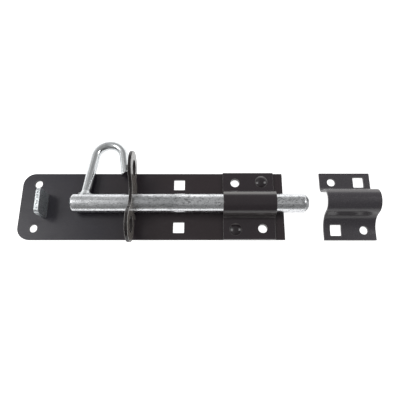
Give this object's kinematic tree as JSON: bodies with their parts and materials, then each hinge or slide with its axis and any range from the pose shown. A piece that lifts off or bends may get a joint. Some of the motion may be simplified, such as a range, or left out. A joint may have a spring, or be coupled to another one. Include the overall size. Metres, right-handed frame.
{
  "type": "padbolt",
  "caption": "Heavy steel door bolt: a round bar slides under a riveted keeper into a separate strike, and its bow handle turns down over a padlock plate.",
  "frame": {"origin": "middle of the back plate's underside, the face that lies on the door", "axes": "+X along the bar towards the strike, +Y across the plate to the side on which the bow handle lies, +Z away from the door"},
  "size_m": [0.342, 0.1068, 0.0385],
  "materials": {
    "black_coat": "black semi-gloss baked coating with a fine grain",
    "zinc_plate": "bright zinc plate, finely mottled"
  },
  "bodies": {
    "plate": {"back_plate": "black_coat", "guide_keeper": "black_coat", "keeper_rivet_rear": "black_coat", "keeper_rivet_front": "black_coat", "padlock_plate": "black_coat", "stop_tab": "zinc_plate", "strike_plate": "black_coat"},
    "bolt": {"bolt_bar": "zinc_plate"},
    "handle": {"bow_handle": "zinc_plate"}
  },
  "joints": [
    {"name": "bolt_slide", "type": "slide", "parent": "plate", "child": "bolt", "axis": [1, 0, 0], "range_m": [-0.0256, 0.0031]},
    {"name": "handle_turn", "type": "hinge", "parent": "bolt", "child": "handle", "pos_m": [0, 0, 0.0116], "axis": [1, 0, 0], "range_deg": [0, 192.3]}
  ]
}
